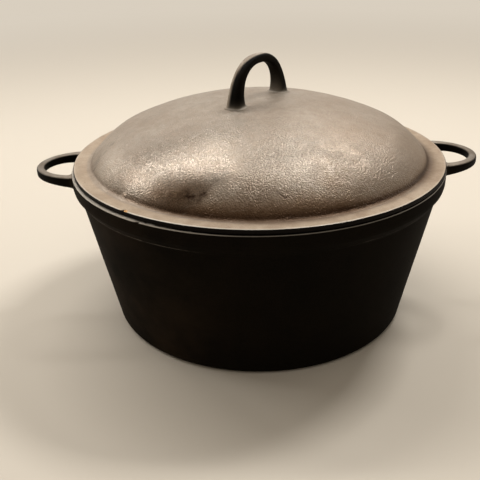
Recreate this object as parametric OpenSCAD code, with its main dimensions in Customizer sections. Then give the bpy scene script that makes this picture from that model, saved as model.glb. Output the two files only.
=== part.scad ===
// Cast iron cooking pot with two loop side handles and a domed lid with a loop handle.
// The pot stands on its base ring at z = 0, its axis is Z, and its side handles lie along X.
// Every size is in millimetres.

/* [Pot] */
// Outer diameter of the rim band
rim_d = 270; // [240:1:310]
// Height of the pot, from the base ring to the top of the rim
pot_h = 115; // [90:1:150]
// Diameter at which the wall would meet the ground if its bottom corner were sharp
foot_d = 219; // [190:1:235]
// How far the wall stands in from the rim band, just under the band
neck_inset = 4.5; // [2.5:0.1:8]
// Thickness of the wall
wall_t = 4.6; // [3:0.1:6]
// Thickness of the floor
floor_t = 5; // [3.5:0.1:8]
// Radius of the outer bottom corner
corner_r = 6; // [3:0.5:10]
// Radius of the inner bottom corner
inner_corner_r = 13; // [6:0.5:22]
// Height of the upright part of the rim band
band_h = 8.5; // [5:0.5:14]
// Height of the slope that leads from the rim band in to the wall
band_slope_h = 6.2; // [3:0.1:12]
// Width of the small step where that slope ends on the wall
step_w = 0.7; // [0.3:0.1:1.5]
// Radius of the rim's outer edge
rim_edge_r = 1.2; // [0.5:0.1:2]
// Width of the chamfer round the mouth
mouth_chamfer = 0.8; // [0.3:0.1:1.2]
// Width of the ring that the pot stands on
base_ring_w = 11; // [6:0.5:20]
// Depth of the hollow inside the base ring
base_hollow = 0.9; // [0.4:0.1:1.5]

/* [Side handles] */
// How far a side handle reaches out from the rim band
handle_reach = 27; // [22:0.5:36]
// Distance between the middles of a side handle's two legs
handle_w = 52; // [44:1:80]
// Radial thickness at the middle of the grip
grip_t = 6; // [5:0.1:9]
// Height at the middle of the grip
grip_h = 6.2; // [5:0.1:9]
// Thickness of a leg where it leaves the pot
leg_t = 8.6; // [7:0.1:12]
// Height of a leg where it leaves the pot
leg_h = 8.6; // [7:0.1:13]
// Width of the cast fillet on each side of a leg's root
leg_fillet = 1.3; // [0.5:0.1:2.5]
// Depth of the cast fillet under a leg's root
leg_drop = 0.3; // [0.2:0.1:2]
// Depth of the handle's top face below the top of the rim
handle_drop = 0.3; // [0:0.1:3]

/* [Lid] */
// How far the lid's edge stands in from the rim band
lid_inset = 1; // [0.5:0.1:3]
// Thickness of the lid's flange
flange_t = 3.1; // [2.4:0.1:4.5]
// Width of the flange, from the foot of the dome to the lid's edge
flange_w = 12; // [9:0.5:16]
// Height of the dome above the flange
dome_h = 42; // [36:0.5:60]
// Radius of the dome's shoulder
shoulder_r = 54; // [44:1:70]
// Slope of the shoulder where it meets the flange, in degrees from level
shoulder_slope = 59; // [50:1:70]
// Thickness of the dome
dome_t = 3.8; // [3:0.1:5]
// Radius of the fillet between the dome and the flange
crease_r = 4; // [2:0.5:6]
// Radius of the flange's edge
flange_edge_r = 0.9; // [0.4:0.1:1.1]
// Depth of the locating ring under the flange
ring_h = 5; // [3:0.5:8]
// Thickness of the locating ring
ring_t = 3.5; // [2.5:0.1:4]

/* [Lid fit] */
// Clearance between the locating ring and the pot's mouth, all round
lid_play = 1.2; // [0.9:0.1:2]
// How far the lid lies to one side within that clearance
lid_shift = 0.5; // [0:0.1:0.5]
// Gap between the flange and the rim, where the rough castings touch at high spots only
seat_gap = 0.3; // [0.2:0.05:0.6]
// Turn of the lid's handle from the line of the side handles, in degrees
lid_turn = 51; // [0:1:90]

/* [Lid handle] */
// Distance between the middles of the loop's legs, at the dome
loop_w = 51.8; // [46:0.5:64]
// Height of the middle of the loop's crown above the top of the dome
loop_h = 27; // [24:0.5:40]
// Fullness of the arch, where 2 is an ellipse
loop_fullness = 2.35; // [2:0.05:3]
// Width of the loop at its crown, across the arch
loop_crown_w = 8.3; // [5:0.1:9]
// Thickness of the loop at its crown
loop_crown_t = 6.9; // [4.5:0.1:8]
// Width of the loop at its feet
loop_foot_w = 14.5; // [9:0.5:16]
// Thickness of the loop at its feet
loop_foot_t = 13.5; // [8:0.5:15]

/* [Hidden] */
$fn = 180;

pot_colour = "#24211e";
lid_colour = "#6d6257";

// How far a cutting shape runs past what it cuts, and a joining shape into what it joins
over = 1;
arc_steps = 8;         // straight pieces in a small rounded edge
sides = 24;            // points round a handle's section
stations = 48;         // sections along a handle
squareness = 4;        // shape of a side handle's section, where 2 is an ellipse
loop_squareness = 3;   // the same for the lid handle

rim_r = rim_d / 2;
foot_r = foot_d / 2;
neck_r = rim_r - neck_inset;
band_z = pot_h - band_h;
step_z = band_z - band_slope_h;
taper = atan((neck_r - foot_r) / step_z);       // lean of the wall from upright
foot_in_r = foot_r - wall_t / cos(taper);       // inner wall, carried down to the ground
base_r = foot_r + corner_r * tan(taper) - corner_r / cos(taper);
floor_corner_z = floor_t + inner_corner_r;
floor_r = foot_in_r + floor_corner_z * tan(taper) - inner_corner_r / cos(taper);

function inner_wall_r(z) = foot_in_r + z * tan(taper);

lid_r = rim_r - lid_inset;
flange_z = pot_h + seat_gap;                    // underside of the flange
flange_top_z = flange_z + flange_t;
dome_foot_r = lid_r - flange_w;
apex_z = flange_top_z + dome_h;
ring_z = flange_z - ring_h;
ring_r = inner_wall_r(ring_z) - lid_play;

// The shoulder's arc ends at the foot of the dome with its own slope. The crown's arc has
// its centre on the axis, passes through the apex and touches the shoulder's arc.
shoulder_centre = [dome_foot_r - shoulder_r * sin(shoulder_slope),
                   flange_top_z - shoulder_r * cos(shoulder_slope)];
apex_rise = apex_z - shoulder_centre[1];        // of the apex above the shoulder's centre
crown_r = (shoulder_centre[0]^2 + apex_rise^2 - shoulder_r^2) / (2 * (apex_rise - shoulder_r));
crown_z = apex_z - crown_r;
crown_spread = asin(shoulder_centre[0] / (crown_r - shoulder_r));   // where the two arcs touch

// The crease's arc touches the shoulder's arc and the top of the flange.
crease_z = flange_top_z + crease_r;
crease_x = shoulder_centre[0]
    + sqrt((shoulder_r + crease_r)^2 - (crease_z - shoulder_centre[1])^2);
crease_lean = atan2(crease_z - shoulder_centre[1], crease_x - shoulder_centre[0]);

function arc(centre, r, from, to, steps = arc_steps) =
    [for (i = [0:steps]) let (a = from + (to - from) * i / steps) centre + r * [cos(a), sin(a)]];

// ---- Profiles, drawn in the plane of radius and height ----

// The outside of the pot, filled in to the axis
module pot_outline() {
    corner_top = [base_r, corner_r] + corner_r * [cos(taper), -sin(taper)];
    polygon(concat(
        [[0, 0], [base_r, 0], corner_top, [neck_r, step_z], [neck_r + step_w, step_z],
         [rim_r - (neck_inset - step_w) * 0.12, band_z - band_slope_h * 0.2],
         [rim_r, band_z + band_h * 0.1]],
        arc([rim_r - rim_edge_r, pot_h - rim_edge_r], rim_edge_r, 0, 90),
        [[0, pot_h]]));
    translate([base_r, corner_r]) circle(corner_r);
}

// The space inside the pot, run on above the rim
module pot_cavity() {
    corner_top = [floor_r, floor_corner_z] + inner_corner_r * [cos(taper), -sin(taper)];
    mouth_z = pot_h - mouth_chamfer;
    top_r = inner_wall_r(mouth_z) + mouth_chamfer + over;
    polygon([[0, floor_t], [floor_r, floor_t], corner_top, [inner_wall_r(mouth_z), mouth_z],
             [top_r, pot_h + over], [0, pot_h + over]]);
    translate([floor_r, floor_corner_z]) circle(inner_corner_r);
}

// A dome of two arcs that touch, filled down to height z and set in from the lid's outside
module dome_outline(inset, z) {
    crown = crown_r - inset;
    meet_r = crown * sin(crown_spread);
    intersection() {
        translate([0, crown_z]) circle(crown);
        translate([0, z]) square([meet_r, apex_z - z]);
    }
    intersection() {
        translate(shoulder_centre) circle(shoulder_r - inset);
        translate([meet_r, z]) square([dome_foot_r, apex_z - z]);
    }
}

module flange_outline() {
    edge_r = flange_edge_r;
    inner = dome_foot_r - dome_t;
    polygon(concat(
        arc([lid_r - edge_r, flange_z + edge_r], edge_r, -90, 0),
        arc([lid_r - edge_r, flange_top_z - edge_r], edge_r, 0, 90),
        arc([crease_x, crease_z], crease_r, 270, 180 + crease_lean),
        [[inner, flange_top_z], [inner, flange_z]]));
}

// The ring under the flange that keeps the lid on the pot
module ring_outline() {
    edge_r = ring_t / 4;
    polygon(concat(
        [[ring_r, flange_z + flange_t / 2], [ring_r - ring_t, flange_z + flange_t / 2]],
        arc([ring_r - ring_t + edge_r, ring_z + edge_r], edge_r, 180, 270),
        arc([ring_r - edge_r, ring_z + edge_r], edge_r, 270, 360)));
}

module lid_outline() {
    difference() {
        union() {
            dome_outline(0, flange_z);
            flange_outline();
        }
        dome_outline(dome_t, flange_z - over);
    }
    ring_outline();
}

// ---- Handles, lofted through sections that change along a curve ----

// A rounded section of half width and half height 1
function power(x, e) = sign(x) * abs(x)^e;
function section_point(k, square) =
    let (a = 360 * (k + 0.5) / sides) [power(cos(a), 2 / square), power(sin(a), 2 / square)];

// One ring of points. across and up are the section's own directions, w and h its size.
function ring(centre, across, up, w, h, square) =
    [for (k = [0:sides - 1]) let (p = section_point(k, square))
        centre + across * p[0] * w / 2 + up * p[1] * h / 2];

module loft(rings) {
    last = len(rings) - 1;
    quads = [for (i = [0:last - 1]) for (k = [0:sides - 1])
        let (next = (k + 1) % sides)
        [i * sides + k, i * sides + next, (i + 1) * sides + next, (i + 1) * sides + k]];
    triangles = [for (q = quads) each [[q[0], q[2], q[1]], [q[0], q[3], q[2]]]];
    start_cap = [for (k = [0:sides - 1]) k];
    end_cap = [for (k = [sides - 1:-1:0]) last * sides + k];
    polyhedron([for (r = rings) each r], concat([start_cap, end_cap], triangles));
}

// Side handle: half an ellipse in plan, flat on top, deeper and thicker toward its roots
handle_root_r = rim_r - 4;                      // where the half ellipse starts, in the wall
handle_lead = 10;                               // straight lead inside the wall
handle_depth = handle_reach + rim_r - handle_root_r - grip_t / 2;
handle_top_z = pot_h - handle_drop;
fillet_start = 2.5;                             // the wall's face, from the start of the ellipse
fillet_run = 5;                                 // how far out the root's fillet dies away

function handle_section(x) =
    let (root = (1 - min(max(x, 0), handle_depth) / handle_depth)^2,
         near = min(max(1 - (x - fillet_start) / fillet_run, 0), 1)^2)
    [grip_t + (leg_t - grip_t) * root + 2 * leg_fillet * near,
     grip_h + (leg_h - grip_h) * root + leg_drop * near];

function handle_ring(x, y, direction) =
    let (size = handle_section(x),
         across = [direction[1], -direction[0], 0])
    ring([handle_root_r + x, y, handle_top_z - size[1] / 2], across, [0, 0, 1],
         size[0], size[1], squareness);

function handle_curve(u) =
    let (x = handle_depth * sin(u), y = -handle_w / 2 * cos(u),
         tangent = [handle_depth * cos(u), handle_w / 2 * sin(u)])
    handle_ring(x, y, tangent / norm(tangent));

module handle_loop() {
    loft(concat(
        [handle_ring(-handle_lead, -handle_w / 2, [1, 0])],
        [for (i = [0:stations]) handle_curve(180 * i / stations)],
        [handle_ring(-handle_lead, handle_w / 2, [-1, 0])]));
}

// Lid handle: an upright arch whose feet spread as they run into the dome
loop_sink = 3;                                  // how far the arch starts below the dome's top
loop_rise = loop_h + loop_sink;

function loop_ring(u) =
    let (e = 2 / loop_fullness,
         s = -loop_w / 2 * power(cos(u), e),
         z = loop_rise * power(sin(u), e),
         spread = (1 - z / loop_rise)^2,
         ds = loop_w / 2 * sin(u)^(2 - e) , dz = loop_rise * power(cos(u), 2 - e)
    )
    let (n = norm([ds, dz]))
    ring([s, 0, apex_z - loop_sink + z], [0, -1, 0], [-dz / n, 0, ds / n],
         loop_crown_w + (loop_foot_w - loop_crown_w) * spread,
         loop_crown_t + (loop_foot_t - loop_crown_t) * spread, loop_squareness);

module arch() {
    loft([for (i = [0:stations]) loop_ring(180 * i / stations)]);
}

// ---- Pieces ----

module pot() {
    color(pot_colour)
    rotate_extrude()
    difference() {
        pot_outline();
        pot_cavity();
        translate([0, -over]) square([base_r - base_ring_w, base_hollow + over]);
    }
}

module side_handle() {
    difference() {
        handle_loop();
        rotate_extrude() pot_outline();
    }
}

module side_handle_right() {
    color(pot_colour) side_handle();
}

module side_handle_left() {
    color(pot_colour) rotate([0, 0, 180]) side_handle();
}

module lid() {
    color(lid_colour)
    translate([lid_shift, 0, 0])
    rotate_extrude() lid_outline();
}

module lid_handle() {
    color(lid_colour)
    translate([lid_shift, 0, 0])
    difference() {
        rotate([0, 0, lid_turn]) arch();
        rotate_extrude() dome_outline(0, flange_z);
    }
}

pot();
side_handle_right();
side_handle_left();
lid();
lid_handle();
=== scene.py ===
"""Looks for a lidded cast iron cooking pot, built round its packed castings.

Every size is in metres, in the castings' own frame: Z is the pot's axis, the pot stands on
z = 0 and its side handles lie along X.
"""

import math

import bmesh
import bpy
import numpy as np
from mathutils import Matrix, Vector


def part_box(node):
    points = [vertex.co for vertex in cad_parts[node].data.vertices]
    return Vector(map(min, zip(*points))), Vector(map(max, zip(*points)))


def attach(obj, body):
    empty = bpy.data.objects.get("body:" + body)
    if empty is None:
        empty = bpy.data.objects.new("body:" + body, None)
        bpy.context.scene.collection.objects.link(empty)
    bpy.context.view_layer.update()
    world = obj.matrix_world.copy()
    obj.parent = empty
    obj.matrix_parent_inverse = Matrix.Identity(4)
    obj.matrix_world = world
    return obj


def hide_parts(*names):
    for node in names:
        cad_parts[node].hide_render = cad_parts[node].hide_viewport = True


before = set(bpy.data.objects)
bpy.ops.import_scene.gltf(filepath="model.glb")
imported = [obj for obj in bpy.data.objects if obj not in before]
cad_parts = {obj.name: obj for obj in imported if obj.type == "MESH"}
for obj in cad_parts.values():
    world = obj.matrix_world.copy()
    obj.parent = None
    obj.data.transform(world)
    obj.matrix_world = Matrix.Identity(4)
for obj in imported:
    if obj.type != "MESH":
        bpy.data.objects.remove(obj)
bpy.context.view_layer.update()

bl_info = {
    "name": "Cast Iron Dutch Oven",
    "version": (1, 0, 0),
    "blender": (4, 5, 0),
    "location": "3D View > Sidebar > Dutch Oven",
    "description": "Builds the castings of a lidded iron pot with their grain, wear and rust",
    "category": "Object",
}

POT_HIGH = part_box("pot")[1]
LID_LOW, LID_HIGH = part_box("lid")
LOOP_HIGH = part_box("lid_handle")[1]
GRIP_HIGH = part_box("side_handle_right")[1]
MM = 0.001
TURNED_SIDES = 480            # points round a turned casting
SAME_POINT = 0.0001 * MM      # points of an outline that are closer than this are one
GRIP_SINK = 4 * MM            # how far a side handle's roots start inside the rim band
LOOP_SINK = 3 * MM            # how far below the dome's top the loop's arch starts


# ---- Settings -------------------------------------------------------------------------------

def length(name, description, default):
    """A size in metres that a user may change."""
    return bpy.props.FloatProperty(name=name, description=description, default=default,
                                   min=0.0, unit="LENGTH", precision=4)


def angle(name, description, degrees):
    """An angle that a user may change, given here in degrees."""
    return bpy.props.FloatProperty(name=name, description=description,
                                   default=math.radians(degrees), subtype="ANGLE")


def amount(name, description, default, largest=1.0):
    """A plain number from nought up."""
    return bpy.props.FloatProperty(name=name, description=description, default=default,
                                   min=0.0, max=largest)


def colour(name, description, red, green, blue):
    """A colour, given here as it looks, from 0 to 255."""
    shown = [(c / 255) ** 2.2 for c in (red, green, blue)]
    return bpy.props.FloatVectorProperty(name=name, description=description, subtype="COLOR",
                                         size=3, min=0.0, max=1.0, default=shown)


class PotSettings(bpy.types.PropertyGroup):
    """Sizes of the pot casting"""

    rim_radius: length("Rim radius", "Outer radius of the rim band", POT_HIGH.y)
    height: length("Height", "From the base ring to the top of the rim", POT_HIGH.z)
    foot_radius: length("Foot radius", "Where the wall would meet the ground", 109.5 * MM)
    neck_inset: length("Neck inset", "From the rim band in to the wall under it", 4.5 * MM)
    wall: length("Wall", "Thickness of the wall", 4.6 * MM)
    floor: length("Floor", "Thickness of the floor", 5 * MM)
    corner: length("Corner", "Radius of the outer bottom corner", 6 * MM)
    inner_corner: length("Inner corner", "Radius of the inner bottom corner", 13 * MM)
    band: length("Rim band", "Height of the upright part of the rim band", 8.5 * MM)
    band_slope: length("Band slope", "Height of the slope under the rim band", 6.2 * MM)
    step: length("Step", "Width of the small step under that slope", 0.7 * MM)
    rim_edge: length("Rim edge", "Radius of the rim's outer edge", 1.2 * MM)
    mouth_edge: length("Mouth edge", "Width of the chamfer round the mouth", 0.8 * MM)
    base_ring: length("Base ring", "Width of the ring that the pot stands on", 11 * MM)
    base_hollow: length("Base hollow", "Depth of the hollow in the base ring", 0.9 * MM)


class SideHandleSettings(bpy.types.PropertyGroup):
    """Sizes of the two loops on the rim band"""

    reach: length("Reach", "From the rim band out to the grip's outer side",
                  GRIP_HIGH.x - POT_HIGH.y)
    width: length("Width", "Between the middles of a loop's two legs", 52 * MM)
    grip_thickness: length("Grip thickness", "Across the middle of the grip", 6 * MM)
    grip_height: length("Grip height", "Height of the middle of the grip", 6.2 * MM)
    leg_thickness: length("Leg thickness", "Across a leg where it leaves the pot", 8.6 * MM)
    leg_height: length("Leg height", "Height of a leg where it leaves the pot", 8.4 * MM)
    drop: length("Drop", "Depth of the top face below the rim",
                 POT_HIGH.z - GRIP_HIGH.z)
    fillet: length("Root fillet", "Radius of the cast fillet round a root", 2.6 * MM)


class LidSettings(bpy.types.PropertyGroup):
    """Sizes of the lid casting"""

    radius: length("Radius", "Outer radius of the flange", (LID_HIGH.x - LID_LOW.x) / 2)
    shift: length("Shift", "How far the lid lies to one side in its seat",
                  (LID_HIGH.x + LID_LOW.x) / 2)
    apex: length("Apex", "Height of the top of the dome", LID_HIGH.z)
    underside: length("Ring foot", "Height of the foot of the locating ring", LID_LOW.z)
    dome_height: length("Dome height", "Height of the dome above the flange", 42 * MM)
    flange: length("Flange", "Thickness of the flange", 3.1 * MM)
    flange_width: length("Flange width", "From the foot of the dome to the edge", 12 * MM)
    shoulder: length("Shoulder", "Radius of the dome's shoulder", 54 * MM)
    slope: angle("Shoulder slope", "Slope of the shoulder where it meets the flange", 59)
    wall: length("Wall", "Thickness of the dome", 3.8 * MM)
    crease: length("Crease", "Radius of the fillet round the dome's foot", 4 * MM)
    edge: length("Edge", "Radius of the flange's edge", 0.9 * MM)
    ring: length("Locating ring", "Thickness of the locating ring", 3.5 * MM)
    play: length("Play", "Clearance between the locating ring and the mouth", 1.2 * MM)


class LoopSettings(bpy.types.PropertyGroup):
    """Sizes of the loop on the lid"""

    turn: angle("Turn", "Turn of the loop from the line of the side handles", 51)
    span: length("Span", "Between the middles of the loop's legs", 51.8 * MM)
    rise: length("Rise", "From the top of the dome to the top of the loop",
                 LOOP_HIGH.z - LID_HIGH.z)
    fullness: amount("Fullness", "Fullness of the arch, where 2 is an ellipse", 2.35, 4)
    crown_width: length("Crown width", "Across the arch at its crown", 8.3 * MM)
    crown_thickness: length("Crown thickness", "Thickness at the crown", 6.3 * MM)
    foot_width: length("Foot width", "Across the arch at its feet", 13 * MM)
    foot_thickness: length("Foot thickness", "Thickness at the feet", 12 * MM)
    fillet: length("Foot fillet", "Radius of the cast fillet round a foot", 1.5 * MM)


class FinishSettings(bpy.types.PropertyGroup):
    """Colours and wear of the iron"""

    lid_iron: colour("Lid iron", "Dry, rubbed iron of the lid", 161, 149, 134)
    lid_brown: colour("Lid brown", "Thin brown film on the lid", 118, 92, 68)
    lid_dark: colour("Lid dark", "Where the lid's film is burnt on", 48, 34, 25)
    pot_iron: colour("Pot iron", "Black outside of the pot", 16, 15, 12)
    pot_brown: colour("Pot brown", "Brown bloom on the black pot", 46, 37, 28)
    seasoned: colour("Seasoning", "Oiled black of the inside", 22, 19, 17)
    lid_dry: colour("Lid, dry", "Dry, dusty iron of the lid's flange", 184, 166, 144)
    bare: colour("Bare iron", "Worn edges, down to the metal", 192, 182, 168)
    rust: colour("Rust", "Fresh rust in a chip", 222, 168, 110)
    wear: amount("Wear", "How far the edges are rubbed bare", 0.8)
    grain: length("Grain", "Size of the sand's grain in the casting", 0.85 * MM)
    waviness: length("Waviness", "How uneven the castings are", 0.14 * MM)


class StageSettings(bpy.types.PropertyGroup):
    """Floor, lamps and camera"""

    floor: colour("Floor", "Colour of the floor", 198, 187, 171)
    floor_size: length("Floor size", "Width of the floor", 24.0)
    horizon: colour("Horizon", "Colour of the sky low down, where the floor meets it",
                    205, 195, 180)
    level: amount("Light level", "Strength of all the lamps together", 0.88, 10)
    backdrop: amount("Backdrop", "Brightness of the backdrop, where 1 is its own colour",
                     1.12, 10)
    camera_place: bpy.props.FloatVectorProperty(
        name="Camera place", description="Where the camera stands", subtype="TRANSLATION",
        unit="LENGTH", size=3, default=(-0.02998, -0.50460, 0.29249))
    camera_turn: bpy.props.FloatVectorProperty(
        name="Camera turn", description="How the camera is turned", subtype="EULER",
        unit="ROTATION", size=3, default=[math.radians(d) for d in (64.1201, 1.1244, -2.3091)])
    lens: amount("Lens", "Focal length in millimetres", 54.0, 500)


SETTINGS = {
    "oven_pot": PotSettings,
    "oven_side_handles": SideHandleSettings,
    "oven_lid": LidSettings,
    "oven_loop": LoopSettings,
    "oven_finish": FinishSettings,
    "oven_stage": StageSettings,
}


# ---- Meshes ---------------------------------------------------------------------------------

def ramp(values, start, end):
    """0 up to the start, 1 from the end on and even in between. It may also run downward."""
    return np.clip((values - start) / (end - start), 0, 1)


def bell(points, place, radius):
    """1 at the place, falling to 0 at about twice the radius."""
    away = np.linalg.norm(points - np.array(place), axis=-1)
    return np.exp(-(away / radius) ** 2)


class Outline:
    """An outline in the plane of radius and height, run from the axis and back to it.

    Each point says how wavy the casting is there, from 0 on a machined fit to 1, and
    whether it takes the seasoned black of the inside, which on the lid's flange edge is partly
    painted shade.
    """

    def __init__(self):
        self.points = []
        self.wavy = []
        self.inside = []

    def add(self, points, wavy=0.0, inside=0.0):
        """Adds points, leaving out one that repeats the last."""
        for point in points:
            if self.points and math.dist(point, self.points[-1]) < SAME_POINT:
                continue
            self.points.append(tuple(point))
            self.wavy.append(wavy)
            self.inside.append(inside)

    def line(self, radius, height, step, **marks):
        """A straight stretch from the last point, with a point about every step."""
        start = np.array(self.points[-1])
        run = (radius, height) - start
        count = max(1, round(np.linalg.norm(run) / step))
        self.add([start + run * i / count for i in range(1, count + 1)], **marks)

    def arc(self, centre, radius, start, end, steps, **marks):
        """A round stretch between two angles, in radians from the radial direction."""
        turns = np.linspace(start, end, steps + 1)
        circle = np.stack([np.cos(turns), np.sin(turns)], axis=1)
        self.add(centre + radius * circle, **marks)

    def exposure(self, reach):
        """How exposed each point is as an outer edge: its share of a right-angled turn,
        spread over the reach."""
        steps = np.diff(self.points, axis=0)
        headings = np.unwrap(np.arctan2(steps[:, 1], steps[:, 0]))
        turning = np.zeros(len(self.points))
        turning[1:-1] = np.diff(headings)
        places = np.concatenate([[0], np.cumsum(np.linalg.norm(steps, axis=1))])
        spread = np.exp(-((places[:, None] - places) / reach) ** 2)
        return spread @ turning * np.sign(turning.sum()) / (math.pi / 2)


def set_values(piece, **values):
    """Writes numbers from 0 to 1 for the mesh's points, each kind under its name."""
    held = piece.data.attributes
    for name, numbers in values.items():
        attribute = held.get(name) or held.new(name, "FLOAT", "POINT")
        attribute.data.foreach_set("value", np.clip(numbers, 0, 1).astype(np.float32))


def mesh_values(piece, name):
    """One kind of those numbers."""
    numbers = np.empty(len(piece.data.vertices), np.float32)
    piece.data.attributes[name].data.foreach_get("value", numbers)
    return numbers


def mesh_rows(items, label):
    """The vectors that a mesh holds for its points, one to a row."""
    rows = np.empty(len(items) * 3)
    items.foreach_get(label, rows)
    return rows.reshape(-1, 3)


def mesh_points(piece):
    """Where the mesh's points are."""
    return mesh_rows(piece.data.vertices, "co")


def mesh_normals(piece):
    """The outward normals at those points."""
    return mesh_rows(piece.data.vertex_normals, "vector")


def move_points(piece, points):
    """Gives the mesh new places for its points."""
    piece.data.vertices.foreach_set("co", points.ravel())
    piece.data.update()


def mesh_object(name, points, faces, **values):
    """A smooth mesh object, with its numbers for the points."""
    if name in bpy.data.objects:
        raise RuntimeError(name + " is already there; start from an empty scene")
    mesh = bpy.data.meshes.new(name)
    mesh.from_pydata(points.tolist(), [], faces)
    mesh.validate()
    mesh.shade_smooth()
    piece = bpy.data.objects.new(name, mesh)
    bpy.context.scene.collection.objects.link(piece)
    set_values(piece, **values)
    return piece


def ring_faces(rings, count):
    """Faces between each ring of points and the next."""
    after = [(i + 1) % count for i in range(count)]
    return [(r + i, r + after[i], r + count + after[i], r + count + i)
            for r in range(0, (rings - 1) * count, count) for i in range(count)]


def turned_casting(name, outline, edge_reach, shift=0.0):
    """The outline turned round the axis, with its numbers."""
    points = np.array(outline.points)
    turns = np.arange(TURNED_SIDES) * math.tau / TURNED_SIDES
    rings = points[1:-1]
    grid = np.stack([rings[:, :1] * np.cos(turns), rings[:, :1] * np.sin(turns),
                     np.repeat(rings[:, 1:], TURNED_SIDES, axis=1)], axis=-1)
    poles = [[0, 0, points[0][1]], [0, 0, points[-1][1]]]
    places = np.concatenate([grid.reshape(-1, 3), poles]) + (shift, 0, 0)
    first_pole = len(places) - 2
    last_ring = first_pole - TURNED_SIDES
    sides = [(i, (i + 1) % TURNED_SIDES) for i in range(TURNED_SIDES)]
    faces = [(first_pole, after, i) for i, after in sides]
    faces += ring_faces(len(rings), TURNED_SIDES)
    faces += [(last_ring + i, last_ring + after, first_pole + 1) for i, after in sides]

    def all_round(numbers):
        """Numbers of the outline's points, repeated for the whole casting."""
        numbers = np.array(numbers, float)
        return np.concatenate([np.repeat(numbers[1:-1], TURNED_SIDES), numbers[[0, -1]]])

    return mesh_object(name, places, faces, exposure=all_round(outline.exposure(edge_reach)),
                       wavy=all_round(outline.wavy), inside=all_round(outline.inside))


def lofted_casting(name, rings):
    """A skin through rings of points, closed at both ends and facing outward."""
    count = rings.shape[1]
    points = rings.reshape(-1, 3)
    faces = ring_faces(len(rings), count)
    faces.append(tuple(range(count - 1, -1, -1)))
    faces.append(tuple(range(len(points) - count, len(points))))
    piece = mesh_object(name, points, faces)
    skin = bmesh.new()
    skin.from_mesh(piece.data)
    bmesh.ops.recalc_face_normals(skin, faces=skin.faces)
    skin.to_mesh(piece.data)
    skin.free()
    return piece


def ripples(points, wavelength, seed):
    """Smooth unevenness between 0 and 1, from waves in seeded directions."""
    draw = np.random.default_rng(seed)
    total = np.zeros(len(points))
    waves = 14
    for _ in range(waves):
        heading = draw.normal(size=3)
        heading /= np.linalg.norm(heading)
        pace = math.tau / wavelength * draw.uniform(0.6, 1.6)
        total += np.sin(points @ heading * pace + draw.uniform(0, math.tau))
    return 0.5 + 0.5 * np.tanh(total / math.sqrt(waves))


def make_wavy(piece, depth, seed):
    """Sinks the skin unevenly, as a sand mould leaves it."""
    points = mesh_points(piece)
    broad = ripples(points, 46 * MM, seed)
    close = ripples(points, 13 * MM, seed + 1)
    sink = depth * (0.75 * broad + 0.25 * close) * mesh_values(piece, "wavy")
    move_points(piece, points - mesh_normals(piece) * sink[:, None])


def dent(piece, place, radius, depth, heading):
    """Presses a round-bottomed nick into the skin, along the heading."""
    points = mesh_points(piece)
    away = np.linalg.norm(points - np.array(place), axis=1) / radius
    press = np.clip(1 - away ** 2, 0, 1) ** 2 * depth
    move_points(piece, points + np.array(heading) * press[:, None])


def root_fillet(piece, height_above, radius, ceiling, under=1.0):
    """Spreads a root's skin outward where it is near the casting that it grows from. under
    is the share of the spread that a downward face gets."""
    points = mesh_points(piece)
    normals = mesh_normals(piece)
    inside = np.clip(radius - height_above(points), 0, radius)
    spread = radius - np.sqrt(radius ** 2 - inside ** 2)
    spread *= 1 - (1 - under) * np.clip(-normals[:, 2], 0, 1)
    points += normals * spread[:, None]
    points[:, 2] = np.minimum(points[:, 2], ceiling)
    move_points(piece, points)


# ---- Shapes of the castings -----------------------------------------------------------------

def wall_lean(pot):
    """Height of the step, radius of the neck and the tangent of the wall's lean."""
    step_z = pot.height - pot.band - pot.band_slope
    neck = pot.rim_radius - pot.neck_inset
    return step_z, neck, (neck - pot.foot_radius) / step_z


def inner_radius(pot, height):
    """Radius of the pot's inner wall at a height."""
    lean = wall_lean(pot)[2]
    return pot.foot_radius - pot.wall * math.hypot(1, lean) + height * lean


def band_points(pot):
    """Where the slope under the rim band begins to turn up, and where the band is upright."""
    band_z = pot.height - pot.band
    turn_r = pot.rim_radius - (pot.neck_inset - pot.step) * 0.12
    return (turn_r, band_z - pot.band_slope * 0.2), (pot.rim_radius, band_z + pot.band * 0.1)


def outer_radius(pot, heights):
    """Radius of the pot's outside at each height, from the wall up to the rim."""
    step_z, neck, _ = wall_lean(pot)
    stepped = (neck + pot.step, step_z + 0.02 * MM)     # the step widens all but at once
    radii, places = zip((pot.foot_radius, 0), (neck, step_z), stepped, *band_points(pot))
    return np.interp(heights, places, radii)


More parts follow.
